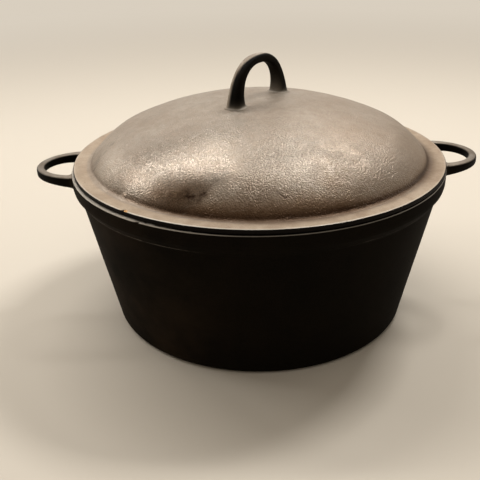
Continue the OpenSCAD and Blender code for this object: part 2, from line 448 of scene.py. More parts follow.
def pot_outline(pot):
    """The pot's section: out under the base, up the wall, over the rim and down inside."""
    step_z, neck, lean = wall_lean(pot)
    tilt = math.atan(lean)
    secant = math.hypot(1, lean)
    base = pot.foot_radius + pot.corner * (lean - secant)
    hollow_r = base - pot.base_ring
    turn, band_foot = band_points(pot)
    nose = 0.3 * MM                     # small radius on the step's lower edge
    nose_r = neck + pot.step - nose
    edge_r = pot.rim_radius - pot.rim_edge
    edge_z = pot.height - pot.rim_edge
    mouth_z = pot.height - pot.mouth_edge
    mouth_r = inner_radius(pot, mouth_z)
    corner_z = pot.floor + pot.inner_corner
    floor_r = inner_radius(pot, corner_z) - pot.inner_corner * secant

    outline = Outline()
    outline.add([(0, pot.base_hollow)], wavy=0.5)
    outline.line(hollow_r, pot.base_hollow, 5 * MM, wavy=0.5)
    outline.line(hollow_r + pot.base_hollow, 0, 0.4 * MM)
    outline.line(base, 0, 2 * MM)
    outline.arc((base, pot.corner), pot.corner, -math.pi / 2, -tilt, 10, wavy=0.4)
    outline.line(neck, step_z, 2.2 * MM, wavy=1)
    outline.line(nose_r, step_z, 0.2 * MM, wavy=0.6)
    outline.arc((nose_r, step_z + nose), nose, -math.pi / 2, -0.5, 4, wavy=0.6)
    outline.line(neck + pot.step, step_z + nose, 1 * MM, wavy=0.6)
    outline.line(*turn, 1 * MM, wavy=0.6)
    outline.line(*band_foot, 0.6 * MM, wavy=0.4)
    outline.line(pot.rim_radius, edge_z, 1 * MM, wavy=0.2)
    outline.arc((edge_r, edge_z), pot.rim_edge, 0, math.pi / 2, 8)
    outline.line(mouth_r + pot.mouth_edge, pot.height, 0.8 * MM)
    outline.line(mouth_r, mouth_z, 0.3 * MM)
    outline.line(floor_r + pot.inner_corner * math.cos(tilt),
                 corner_z - pot.inner_corner * math.sin(tilt), 3 * MM, wavy=0.8, inside=1)
    outline.arc((floor_r, corner_z), pot.inner_corner, -tilt, -math.pi / 2, 12, wavy=0.5,
                inside=1)
    outline.line(0, pot.floor, 4 * MM, wavy=0.6, inside=1)
    return outline


class Dome:
    """The lid's two arcs: a crown round the axis and a shoulder that touches it."""

    def __init__(self, lid):
        self.foot = lid.radius - lid.flange_width
        self.flange_top = lid.apex - lid.dome_height
        self.shoulder = lid.shoulder
        self.centre_r = self.foot - lid.shoulder * math.sin(lid.slope)
        self.centre_z = self.flange_top - lid.shoulder * math.cos(lid.slope)
        rise = lid.apex - self.centre_z
        self.crown = ((self.centre_r ** 2 + rise ** 2 - lid.shoulder ** 2)
                      / (2 * (rise - lid.shoulder)))
        self.crown_z = lid.apex - self.crown
        self.spread = math.asin(self.centre_r / (self.crown - self.shoulder))

    def height(self, radii):
        """Height of the dome's skin at each radius."""
        inner = self.crown_z + np.sqrt(np.maximum(self.crown ** 2 - np.square(radii), 0))
        beyond = np.maximum(self.shoulder ** 2 - np.square(radii - self.centre_r), 0)
        meet = self.crown * math.sin(self.spread)
        return np.where(np.less(radii, meet), inner, self.centre_z + np.sqrt(beyond))


def lid_outline(lid, pot):
    """The lid's section: out under the dome, round the locating ring and the flange's edge,
    and back over the dome."""
    dome = Dome(lid)
    up = math.pi / 2
    meet = up - dome.spread
    crown_centre = (0, dome.crown_z)
    shoulder_centre = (dome.centre_r, dome.centre_z)
    underside = dome.flange_top - lid.flange
    inner_shoulder = dome.shoulder - lid.wall
    inner_end = math.asin((underside - dome.centre_z) / inner_shoulder)
    ring_r = inner_radius(pot, lid.underside) - lid.play
    ring_in = ring_r - lid.ring
    ring_edge = lid.ring / 4
    ring_z = lid.underside + ring_edge
    edge_r = lid.radius - lid.edge
    edge_z = dome.flange_top - lid.edge
    crease_z = dome.flange_top + lid.crease
    reach = lid.shoulder + lid.crease
    crease_r = dome.centre_r + math.sqrt(reach ** 2 - (crease_z - dome.centre_z) ** 2)
    lean = math.atan2(crease_z - dome.centre_z, crease_r - dome.centre_r)

    outline = Outline()
    outline.arc(crown_centre, dome.crown - lid.wall, up, meet, 24, wavy=0.8, inside=1)
    outline.arc(shoulder_centre, inner_shoulder, meet, inner_end, 18, wavy=0.6, inside=1)
    outline.line(ring_in, underside, 1.5 * MM, inside=1)
    outline.line(ring_in, ring_z, 1 * MM, inside=1)
    outline.arc((ring_in + ring_edge, ring_z), ring_edge, math.pi, 3 * up, 5, inside=1)
    outline.arc((ring_r - ring_edge, ring_z), ring_edge, -up, 0, 5, inside=1)
    outline.line(ring_r, underside, 1 * MM, inside=1)
    outline.line(edge_r, underside, 1.5 * MM, inside=1)
    outline.arc((edge_r, underside + lid.edge), lid.edge, -up, 0, 5, inside=1)
    # The flange's outer side is marked inside, so it takes the seasoned black: partly
    # seasoning, partly painted shade.
    outline.line(lid.radius, edge_z, 0.5 * MM, wavy=0.3, inside=1)
    outline.arc((edge_r, edge_z), lid.edge, 0.3, 1.0, 4, inside=1)
    outline.arc((edge_r, edge_z), lid.edge, 1.1, up, 3)
    outline.line(crease_r, dome.flange_top, 0.9 * MM, wavy=0.5)
    outline.arc((crease_r, crease_z), lid.crease, -up, lean - math.pi, 7, wavy=0.8)
    outline.arc(shoulder_centre, lid.shoulder, lean, meet, 34, wavy=1)
    outline.arc(crown_centre, dome.crown, meet, up, 60, wavy=1)
    return outline


def round_section(count, squareness):
    """Points round a section of half width 1 and half height 1, where 2 is an ellipse."""
    turns = (np.arange(count) + 0.5) * math.tau / count
    return [np.sign(wave) * np.abs(wave) ** (2 / squareness)
            for wave in (np.cos(turns), np.sin(turns))]


def swelling(slim, thick, share):
    """A size that grows from slim to thick by the share."""
    return slim + (thick - slim) * share


def dense_turns(start, root_end, count, near_count):
    """Turns from start to its mirror past a right angle, closer together near both roots."""
    near = np.linspace(start, root_end, near_count, endpoint=False)
    middle = np.linspace(root_end, math.pi - root_end, count)
    return np.concatenate([near, middle, math.pi - near[::-1]])[:, None]


def side_loop_rings(grips, pot):
    """Rings of a side handle on the +X side: half an ellipse in plan, flat on top, deeper
    and thicker toward its roots."""
    root_r = pot.rim_radius - GRIP_SINK
    depth = grips.reach + pot.rim_radius - root_r - grips.grip_thickness / 2
    top = pot.height - grips.drop
    half = grips.width / 2
    across, up = round_section(count=40, squareness=4)
    turns = dense_turns(start=0.02, root_end=0.34, count=64, near_count=24)
    run = depth * np.cos(turns)
    rise = half * np.sin(turns)
    size = np.hypot(run, rise)
    share = (1 - np.sin(turns)) ** 2
    thick = swelling(grips.grip_thickness, grips.leg_thickness, share)
    high = swelling(grips.grip_height, grips.leg_height, share)
    return np.stack([root_r + depth * np.sin(turns) + rise / size * across * thick / 2,
                     -half * np.cos(turns) - run / size * across * thick / 2,
                     top - high / 2 + up * high / 2], axis=-1)


def loop_rings(loop, lid):
    """Rings of the lid's upright arch, in the plane of X and Z."""
    foot_z = lid.apex - LOOP_SINK
    rise = lid.apex + loop.rise - loop.crown_thickness / 2 - foot_z
    power = 2 / loop.fullness
    half = loop.span / 2
    across, up = round_section(count=48, squareness=3)
    turns = dense_turns(start=0.012, root_end=0.16, count=90, near_count=30)
    side = np.sign(np.cos(turns))
    level = np.abs(np.cos(turns))
    height = rise * np.sin(turns) ** power
    run = half * np.sin(turns) ** (2 - power)
    climb = rise * side * level ** (2 - power)
    size = np.hypot(run, climb)
    share = (1 - height / rise) ** 2
    wide = swelling(loop.crown_width, loop.foot_width, share)
    thick = swelling(loop.crown_thickness, loop.foot_thickness, share)
    return np.stack([-half * side * level ** power - climb / size * up * thick / 2,
                     -across * wide / 2,
                     foot_z + height + run / size * up * thick / 2], axis=-1)


def turned_about_axis(rings, turn, shift=0.0):
    """The rings turned about Z and then moved along X."""
    c = math.cos(turn)
    s = math.sin(turn)
    return rings @ np.array([[c, s, 0], [-s, c, 0], [0, 0, 1]]) + (shift, 0, 0)


# ---- Nodes ----------------------------------------------------------------------------------

def fill(node, inputs):
    """Gives each input of a node a number, a colour or a field."""
    for name, value in inputs.items():
        if isinstance(value, Field):
            node.id_data.links.new(value.socket, node.inputs[name])
        else:
            node.inputs[name].default_value = value


def put(tree, kind, inputs=None, **properties):
    """Adds a node."""
    made = tree.nodes.new(kind)
    for name, value in properties.items():
        setattr(made, name, value)
    fill(made, inputs or {})
    return made


class Field:
    """One output of a node. It sums like a number, and each sum adds a node beside it."""

    def __init__(self, node, output=0):
        self.socket = node.outputs[output]
        self.tree = node.id_data

    def then(self, kind, inputs, output=0, **properties):
        """The output of a new node."""
        return Field(put(self.tree, kind, inputs, **properties), output)

    def maths(self, operation, *values):
        """The result of a sum."""
        return self.then("ShaderNodeMath", dict(enumerate(values)), operation=operation)

    def __add__(self, other):
        return self.maths("ADD", self, other)

    def __sub__(self, other):
        return self.maths("SUBTRACT", self, other)

    def __rsub__(self, other):
        return self.maths("SUBTRACT", other, self)

    def __mul__(self, other):
        return self.maths("MULTIPLY", self, other)

    def __truediv__(self, other):
        return self.maths("DIVIDE", self, other)

    def __rtruediv__(self, other):
        return self.maths("DIVIDE", other, self)

    def larger(self, other):
        """The larger of two numbers."""
        return self.maths("MAXIMUM", self, other)

    def vector(self, operation, inputs, output=0):
        """The result of a sum with vectors, this one the first."""
        return self.then("ShaderNodeVectorMath", {0: self, **inputs}, output,
                         operation=operation)

    def eased(self, low, high, start=0.0, end=1.0):
        """This number carried smoothly from start, at low, to end, at high."""
        inputs = {"Value": self, "From Min": low, "From Max": high, "To Min": start,
                  "To Max": end}
        return self.then("ShaderNodeMapRange", inputs, interpolation_type="SMOOTHSTEP")

    def between(self, first, second):
        """A number between two, with this as the mask."""
        return self.then("ShaderNodeMix", {0: self, 2: first, 3: second})

    def mixed(self, first, second):
        """A colour between two, with this as the mask."""
        return self.then("ShaderNodeMix", {0: self, 6: first, 7: second}, 2,
                         data_type="RGBA")

    def noise(self, scale, detail, roughness, seed=0.0):
        """Soft noise from 0 to 1, with this as the place."""
        inputs = {"Vector": self, "Scale": scale, "Detail": detail, "Roughness": roughness,
                  "W": seed}
        return self.then("ShaderNodeTexNoise", inputs, noise_dimensions="4D")


def cast_grain(place, grain, patchiness):
    """The pebbled skin that sand leaves on iron, in patches."""
    pace = 1 / grain
    fine = place.noise(pace, 3.0, 0.6)
    cells = place.then("ShaderNodeTexVoronoi",
                       {"Vector": place, "Scale": pace * 0.75, "Smoothness": 0.35},
                       "Distance", feature="SMOOTH_F1")
    patches = place.noise(pace * 0.07, 2.0, 0.5, 3.0)
    strength = patches.eased(0.38, 0.62, 1 - patchiness, 1.0)
    return {"Height": (fine * 0.6 - cells * 0.7) * strength, "Tone": fine.eased(0.3, 0.7)}


def oil_film(place, patch, softness, seed):
    """Where a thin film of burnt oil lies thicker: broad patches and their broken edges."""
    broad = place.noise(1 / patch, 5.0, 0.62, seed)
    return {"Mask": broad.eased(0.52 - softness, softness + 0.52)}


def edge_wear(place, exposure, amount, breakup):
    """Where an exposed edge is rubbed bare, broken up along its length."""
    worn = exposure + (place.noise(1 / breakup, 4.0, 0.6, 7.0) * 0.7 - 0.35)
    start = 1 - amount
    return {"Mask": worn.eased(start, start + 0.35)}


def rust(place, where, crumb, fresh, old):
    """Crumbly rust where a chip has let the damp in."""
    crumbs = place.noise(1 / crumb, 4.0, 0.65, 11.0)
    spread = where + (crumbs * 0.8 - 0.4)
    return {"Mask": spread.eased(0.42, 0.62),
            "Colour": crumbs.eased(0.45, 0.55).mixed(old, fresh)}


def scuffs(place, spacing, amount):
    """Short fine scuffs that cross each other."""
    pace = 1 / spacing
    lines = []
    for turn, seed in ((0.5, 1.0), (1.9, 2.0)):
        inputs = {"Vector": place, "Rotation": (0, 0, turn), "Scale": (0.07, 1, 0.6)}
        stretched = place.then("ShaderNodeMapping", inputs)
        lines.append(stretched.noise(pace, 2.0, 0.5, seed).eased(0.62, 0.72))
    return {"Mask": (lines[0] + lines[1]) * amount}


def specks(place, spacing, size):
    """Small dark pits, thinly and unevenly strewn."""
    pace = 1 / spacing
    reach = pace * size
    cells = put(place.tree, "ShaderNodeTexVoronoi", {"Vector": place, "Scale": pace})
    spot = Field(cells, "Distance").eased(reach * 0.4, reach, 1.0, 0.0)
    tint = place.then("ShaderNodeSeparateColor", {"Color": Field(cells, "Color")})
    return {"Mask": spot * tint.eased(0.35, 1.0, 0.0, 0.8)}


def stroke(place, start, end, width, waver):
    """A single mark between two points, with a wavering line."""
    drift = place.then("ShaderNodeTexNoise", {"Vector": place, "Scale": 220.0, "Detail": 2.0},
                       "Color").vector("SUBTRACT", {1: (0.5, 0.5, 0.5)})
    drifted = place.vector("ADD", {1: drift.vector("SCALE", {"Scale": waver})})
    away = drifted.vector("SUBTRACT", {1: start})
    run = end.vector("SUBTRACT", {1: start})
    share = (away.vector("DOT_PRODUCT", {1: run}, "Value")
             / run.vector("DOT_PRODUCT", {1: run}, "Value"))
    share = share.maths("MINIMUM", share.larger(0.0), 1.0)
    nearest = run.vector("SCALE", {"Scale": share})
    distance = away.vector("SUBTRACT", {1: nearest}).vector("LENGTH", {}, "Value")
    return {"Mask": distance.eased(0.0, width * 0.5, 1.0, 0.0)}


GROUPS = {
    "Cast Grain": (cast_grain, {"Grain": 2 * MM, "Patchiness": 0.5}),
    "Oil Film": (oil_film, {"Patch": 40 * MM, "Softness": 0.15, "Seed": 0.0}),
    "Edge Wear": (edge_wear, {"Exposure": 0.0, "Amount": 0.8, "Breakup": 6 * MM}),
    "Rust": (rust, {"Where": 0.0, "Crumb": 1 * MM, "Fresh": (0.3, 0.1, 0.03, 1),
                    "Old": (0.05, 0.02, 0.01, 1)}),
    "Scuffs": (scuffs, {"Spacing": 3 * MM, "Amount": 0.5}),
    "Specks": (specks, {"Spacing": 7 * MM, "Size": 0.5 * MM}),
    "Stroke": (stroke, {"Start": (0, 0, 0), "End": (0, 0, 0), "Width": 1 * MM,
                        "Waver": 0.5 * MM}),
}
SOCKETS = {1: "NodeSocketFloat", 3: "NodeSocketVector", 4: "NodeSocketColor"}


def make_group(name):
    """Builds a shared node group, which reads a place and then its own inputs."""
    effect, own_inputs = GROUPS[name]
    inputs = {"Vector": (0, 0, 0), **own_inputs}
    tree = bpy.data.node_groups.new(name, "ShaderNodeTree")
    for label, default in inputs.items():
        socket = tree.interface.new_socket(name=label, in_out="INPUT",
                                           socket_type=SOCKETS[np.size(default)])
        socket.default_value = default
    entry = tree.nodes.new("NodeGroupInput")
    outputs = effect(*(Field(entry, label) for label in inputs))
    for label in outputs:
        tree.interface.new_socket(name=label, in_out="OUTPUT",
                                  socket_type=SOCKETS[4 if label == "Colour" else 1])
    fill(tree.nodes.new("NodeGroupOutput"), outputs)
    return tree


class Finish:
    """A material laid on in layers, each over the last."""

    def __init__(self, name, base, roughness, metallic, specular):
        self.material = bpy.data.materials.new(name)
        self.material.use_nodes = True
        self.tree = self.material.node_tree
        self.shader = self.tree.nodes["Principled BSDF"]
        self.shader.inputs["Specular IOR Level"].default_value = specular
        self.place = Field(put(self.tree, "ShaderNodeTexCoord"), "Object")
        self.colour = (*base, 1)
        self.roughness = roughness
        self.metallic = metallic
        self.height = 0.0

    def group(self, name, **inputs):
        """Places a shared group, which reads the piece's own coordinates."""
        shared = bpy.data.node_groups.get(name) or make_group(name)
        return put(self.tree, "ShaderNodeGroup", {"Vector": self.place, **inputs},
                   node_tree=shared)

    def mask(self, name, **inputs):
        """The mask that a shared group gives."""
        return Field(self.group(name, **inputs), "Mask")

    def value(self, name):
        """A number that the mesh holds at each point."""
        return Field(put(self.tree, "ShaderNodeAttribute", attribute_name=name), "Fac")

    def lay(self, mask, shade, roughness):
        """Lays a colour and a roughness on where the mask is."""
        if not isinstance(shade, Field):
            shade = (*shade, 1)
        self.colour = mask.mixed(self.colour, shade)
        self.roughness = mask.between(self.roughness, roughness)

    def grain(self, finish, patchiness):
        """The height and the tone of the casting's grain."""
        made = self.group("Cast Grain", Grain=finish.grain, Patchiness=patchiness)
        return Field(made, "Height"), Field(made, "Tone")

    def lay_rust(self, finish, crumb, old):
        """Lays on rust where the mesh is rusty and returns its mask."""
        made = self.group("Rust", Where=self.value("rusty"), Crumb=crumb,
                          Fresh=(*finish.rust, 1), Old=(*old, 1))
        self.lay(Field(made, "Mask"), Field(made, "Colour"), 0.85)
        return Field(made, "Mask")

    def worn_edges(self, finish, breakup):
        """Where the exposed edges that get rubbed are worn; on the pot's rim and the lid's edge
        the bare lines are partly painted highlights.
        """
        worn = self.mask("Edge Wear", Exposure=self.value("exposure"), Amount=finish.wear,
                         Breakup=breakup)
        return worn * self.value("rubbed")

    def emboss(self, height, depth):
        """Raises the skin by the height, from 0 to 1, times the depth in metres."""
        self.height = height * depth + self.height

    def done(self):
        """Joins the layers to the shader and returns the material."""
        bump = put(self.tree, "ShaderNodeBump", {"Height": self.height, "Distance": 1.0})
        fill(self.shader, {"Base Color": self.colour, "Roughness": self.roughness,
                           "Metallic": self.metallic, "Normal": Field(bump)})
        return self.material


# ---- Finishes -------------------------------------------------------------------------------

def lid_place(lid, millimetres, degrees):
    """A point on top of the lid, by its distance from the lid's axis and its bearing."""
    dome = Dome(lid)
    radius = millimetres * MM
    bearing = math.radians(degrees)
    height = dome.flange_top if radius > dome.foot else float(dome.height(radius))
    return (lid.shift + radius * math.cos(bearing), radius * math.sin(bearing), height)


# Each scratch's start and end, as millimetres from the lid's axis and a bearing, its width in
# millimetres and its strength.
SCRATCHES_AND_SHADE_LINE = (
    ((103.8, -106.4), (108.2, -108.9), 0.8, 0.6),
    ((108.2, -108.9), (112.4, -110.3), 1.1, 0.85),
    ((112.4, -110.3), (115.2, -115.0), 2.0, 0.95),
    ((115.2, -115.0), (116.6, -116.4), 1.6, 0.7),
    # This dark line on the dome's left is the edge of the painted shade there, not a scratch.
    ((104.5, -167.6), (120.2, -163.7), 2.2, 0.3),
    ((110.3, -88.0), (113.9, -85.5), 0.9, 0.9),
    ((113.9, -85.5), (111.9, -84.7), 0.7, 0.8),
)


def lid_iron(finish, lid):
    """Dry, rubbed iron: warm grey over brown, with burnt patches, scratches and a chip; painted
    shade round the dome's foot, on its lower front and in a wedge on its left, and a painted
    highlight on the flange's edge.
    """
    look = Finish("Lid Iron", finish.lid_iron, roughness=0.52, metallic=0.7, specular=0.05)
    dry = look.value("dry")
    pebbles = look.value("pebbled")
    polished = look.value("polished")
    film = look.mask("Oil Film", Patch=38 * MM, Softness=0.22, Seed=1.0)
    mottle = look.mask("Oil Film", Patch=9 * MM, Softness=0.3, Seed=5.0)
    blots = look.mask("Oil Film", Patch=4.5 * MM, Softness=0.14, Seed=8.0)
    grain, tone = look.grain(finish, patchiness=0.35)
    speckle = 1 - tone

    look.lay(dry, finish.lid_dry, 0.5)
    look.lay(film * 0.3, finish.lid_brown, 0.5)
    look.lay(mottle * 0.2, finish.lid_dark, 0.5)
    look.lay(blots * dry.between(0.2, 0.05), finish.lid_brown, 0.5)
    look.lay(speckle * 0.14, finish.lid_dark, 0.5)
    look.lay(dry * mottle * 0.35 * film.between(0.6, 1.5), finish.lid_brown, 0.5)
    look.lay(look.mask("Specks", Spacing=7 * MM, Size=0.5 * MM), finish.lid_dark, 0.6)
    # Brown film, which on the dome's lower front also stands as painted shade.
    look.lay(look.value("browned") * 0.8, finish.lid_brown, 0.45)
    # Burnt film, with the painted shade of the wedge on the dome's left.
    look.lay(look.value("burnt") * blots.between(0.25, 1.0), finish.lid_dark, 0.42)
    # Grime round the dome's foot, with painted shade there, heaviest at the front.
    dirt_and_shade = look.value("crease") * mottle.between(0.8, 1.0)
    look.lay(dirt_and_shade, finish.lid_brown, 0.5)
    look.lay(dirt_and_shade, finish.lid_dark, 0.6)
    look.lay(speckle * pebbles.larger(polished) * 0.35, finish.lid_dark, 0.42)
    look.roughness = pebbles.eased(0.4, 1.0).between(look.roughness, 0.37)
    look.roughness = polished.between(look.roughness, speckle.between(0.19, 0.4))
    look.lay(look.mask("Scuffs", Spacing=1.5 * MM, Amount=0.05), finish.bare, 0.45)
    for start, end, width, strength in SCRATCHES_AND_SHADE_LINE:
        mark = look.mask("Stroke", Start=lid_place(lid, *start), End=lid_place(lid, *end),
                         Width=2 * width * MM, Waver=1.8 * width * MM)
        broken = mark * blots.between(0.3, 1.0)
        look.lay(broken * strength, finish.lid_dark, 0.5)
        look.emboss(broken, -0.15 * strength * MM)
    # The bare line on the flange's edge is partly wear, partly a painted highlight.
    worn = look.worn_edges(finish, breakup=5 * MM)
    look.lay(worn, finish.bare, 0.35)
    rusty = look.lay_rust(finish, crumb=1.5 * MM, old=finish.lid_dark)
    # The seasoned black, which on the flange's outer side is partly painted shade.
    black = look.value("inside")
    look.lay(black, finish.seasoned, 0.6)

    dull = black.larger(rusty).larger(dry.larger(worn) * 0.7)
    look.metallic = dull.between(0.7, 0.0)
    look.emboss(grain, pebbles.between(0.14 * MM, 0.6 * MM))
    look.emboss(rusty, 0.25 * MM)
    return look.done()


def pot_iron(finish):
    """Black, matt iron with a brown bloom, rubbed bare along the rim and the step, where the
    bare lines are partly a painted highlight.
    """
    look = Finish("Pot Iron", finish.pot_iron, roughness=0.8, metallic=0.0, specular=0.03)
    film = look.mask("Oil Film", Patch=45 * MM, Softness=0.32, Seed=9.0)
    grain, tone = look.grain(finish, patchiness=0.4)
    look.lay(film * look.value("bloom"), finish.pot_brown, 0.65)
    look.lay(tone * 0.1, finish.pot_brown, 0.6)
    look.lay(look.worn_edges(finish, breakup=7 * MM), finish.bare, 0.38)
    look.lay_rust(finish, crumb=1.4 * MM, old=finish.pot_iron)
    look.lay(look.value("inside"), finish.seasoned, 0.36)
    look.emboss(grain, 0.08 * MM)
    return look.done()


def grip_iron(finish, name, rubbed, root_tone, metal):
    """Black iron of a cast loop, where its top mask lies lit by a painted highlight in the
    lid's colours, partly wear from hands. root_tone is the colour that it takes on where it
    runs into the casting that it grows from; on the lid's loop that is a painted reflection of
    the lid."""
    look = Finish(name, finish.pot_iron, roughness=0.6, metallic=0.0, specular=0.03)
    root = look.value("root")
    film = look.mask("Oil Film", Patch=12 * MM, Softness=0.2, Seed=13.0)
    grain, _ = look.grain(finish, patchiness=0.4)
    look.lay(film * 0.2, finish.pot_brown, 0.5)
    # Round the roots; on the lid's loop this is a painted reflection of the lid.
    look.lay(root, root_tone, 0.45)
    # A painted highlight where the top mask lies, partly wear from hands.
    top = look.value("top") * film.between(1.0, 0.6) * rubbed
    look.lay(top, finish.lid_iron, 0.42)
    look.lay(top * film * 0.6, finish.lid_brown, 0.45)
    look.metallic = top.larger(root) * metal
    look.emboss(grain, 0.15 * MM)
    return look.done()


def seen_ray(tree):
    """1 for rays that show the backdrop to the eye, straight or in a reflection."""
    rays = put(tree, "ShaderNodeLightPath")
    seen = Field(rays, "Is Camera Ray").larger(Field(rays, "Is Glossy Ray"))
    return seen.larger(Field(rays, "Is Transmission Ray"))


def plain_floor(stage):
    """The pale floor, which fades far off into the colour of the sky behind it."""
    look = Finish("Pale Floor", stage.floor, roughness=0.9, metallic=0.0, specular=0.1)
    far = look.place.vector("LENGTH", {}, "Value").eased(0.4, 1.6)
    glow = put(look.tree, "ShaderNodeEmission",
               {"Color": (*stage.horizon, 1), "Strength": stage.backdrop})
    blend = put(look.tree, "ShaderNodeMixShader",
                {0: far * seen_ray(look.tree), 1: Field(look.shader), 2: Field(glow)})
    fill(look.tree.nodes["Material Output"], {"Surface": Field(blend)})
    return look.done()


# ---- Pieces ---------------------------------------------------------------------------------

def settings(*names):
    """Groups of this object's settings, by their names."""
    return [getattr(bpy.context.scene, "oven_" + name) for name in names]


def seat(piece, material, body, node):
    """Gives a piece its material, its body and the casting that it stands for."""
    piece.data.materials.append(material)
    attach(piece, body)
    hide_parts(node)


class MakePot(bpy.types.Operator):
    """Turn the pot's casting, uneven from the sand, with a nick in its rim"""

    bl_idname = "dutch_oven.make_pot"
    bl_label = "Make the Pot"

    def execute(self, context):
        pot, finish = settings("pot", "finish")
        piece = turned_casting("pot_casting", pot_outline(pot), edge_reach=0.5 * MM)
        make_wavy(piece, finish.waviness, seed=3)
        bearing = math.radians(-126.2)
        out = np.array((math.cos(bearing), math.sin(bearing)))
        nick = (*pot.rim_radius * out, pot.height - 0.3 * MM)
        dent(piece, nick, 2.6 * MM, 0.9 * MM, (*-out, -0.6))

        points = mesh_points(piece)
        x, y, z = points.T / MM
        top = pot.height / MM
        left = ramp(-x, 20, 90)
        low = ramp(z, 75, 0)
        # The bare lines on the rim and the step are partly wear, partly a painted highlight:
        # heaviest on the left, and on the step at the sides.
        crest = ramp(z, top - 1, top - 0.6)
        outward = np.hypot(x, y) - pot.rim_radius / MM
        brow = bell(np.stack([outward, z], axis=1), (-0.3, top - 0.35), 0.26)
        step = mesh_values(piece, "exposure") * (z < top - 12)
        step *= np.maximum(ramp(np.abs(x), 15, 60), 0.15)
        set_values(piece, rusty=0.55 * bell(points, nick, 1.2 * MM),
                   exposure=0.5 * crest * left + 1.3 * brow + step,
                   rubbed=(0.3 + 0.58 * left) * (0.4 + 0.6 * crest),
                   bloom=0.15 + (0.5 + 0.9 * low) * left)
        seat(piece, pot_iron(finish), "pot", "pot")
        return {"FINISHED"}


class MakeSideHandles(bpy.types.Operator):
    """Loft the two side handles and run their roots onto the rim band"""

    bl_idname = "dutch_oven.make_side_handles"
    bl_label = "Make the Side Handles"

    def execute(self, context):
        pot, grips, finish = settings("pot", "side_handles", "finish")
        material = grip_iron(finish, "Side Handle Iron", rubbed=0.75,
                             root_tone=finish.pot_brown, metal=0.5)

        def above(points):
            """Distance of each point from the outside of the pot."""
            return np.hypot(points[:, 0], points[:, 1]) - outer_radius(pot, points[:, 2])

        for name, turn in (("side_handle_right", 0.0), ("side_handle_left", math.pi)):
            rings = turned_about_axis(side_loop_rings(grips, pot), turn)
            piece = lofted_casting(name + "_casting", rings)
            root_fillet(piece, above, grips.fillet, pot.height - grips.drop, under=0.1)
            off = above(mesh_points(piece))
            # The up-facing faces get a painted highlight, stronger near the pot, partly wear
            # from hands.
            level = ramp(mesh_normals(piece)[:, 2], 0.5, 1)
            set_values(piece, top=level * (1 - 0.4 * ramp(off, 0, grips.reach)),
                       root=0.5 * np.exp(-np.maximum(off, 0) / (2 * MM)),
                       wavy=off / (4 * MM))
            make_wavy(piece, finish.waviness, seed=21 + round(turn))
            seat(piece, material, "pot", name)
        return {"FINISHED"}


# How rubbed the flange's edge is at each bearing; the bare line is partly wear, partly a
# painted highlight.
RUBBED_EDGE_AND_HIGHLIGHT = ((-165, 0.15), (-150, 0.4), (-135, 0.5), (-120, 0.9), (-105, 0.8), (-90, 0.45),
               (-75, 0.7), (-60, 0.4), (-45, 0.3), (-30, 0.15), (180, 0.15))
# The grime and painted shade round the dome's foot at each bearing, heaviest at the front: its
# strength, and how far it reaches out over the flange and in over the dome, in millimetres.
GRIME_AND_SHADE = ((-180, 0.25, 1.5, 0.7), (-165, 0.25, 2, 0.7), (-150, 0.35, 1.1, 0.8),
         (-135, 0.55, 1.3, 1.8), (-120, 0.9, 2.8, 2.4), (-105, 0.97, 3.6, 4), (-90, 1, 5, 4),
         (-75, 1, 4.8, 3.4), (-60, 0.95, 3.6, 1.8), (-45, 0.85, 3.6, 1.4), (-30, 0.9, 4.8, 1.4),
         (-15, 0.9, 5.5, 1.2), (0, 0.7, 4.5, 1.2), (60, 0.35, 1.5, 1), (180, 0.3, 1.5, 1))
# Round marks on the dome: millimetres from its axis, bearing, size and strength.
BURNT_SPOTS = ((113.5, -112, 5, 1), (115.5, -115.5, 7, 0.9), (116.5, -122, 7, 0.5),
               (116, -94, 14, 0.4), (109, -178, 10, 0.1))
BROWN_SPOTS = ((115.5, -119, 11, 0.9), (117, -126, 9, 0.6), (112.5, -112, 11, 0.6),
               (116, -96, 16, 0.4), (110, -69.5, 8, 0.45))


def lid_marks(points, lid, marks):
    """The strength of all the round marks together at each point."""
    return sum(strength * bell(points, lid_place(lid, radius, bearing), size * MM)
               for radius, bearing, size, strength in marks)


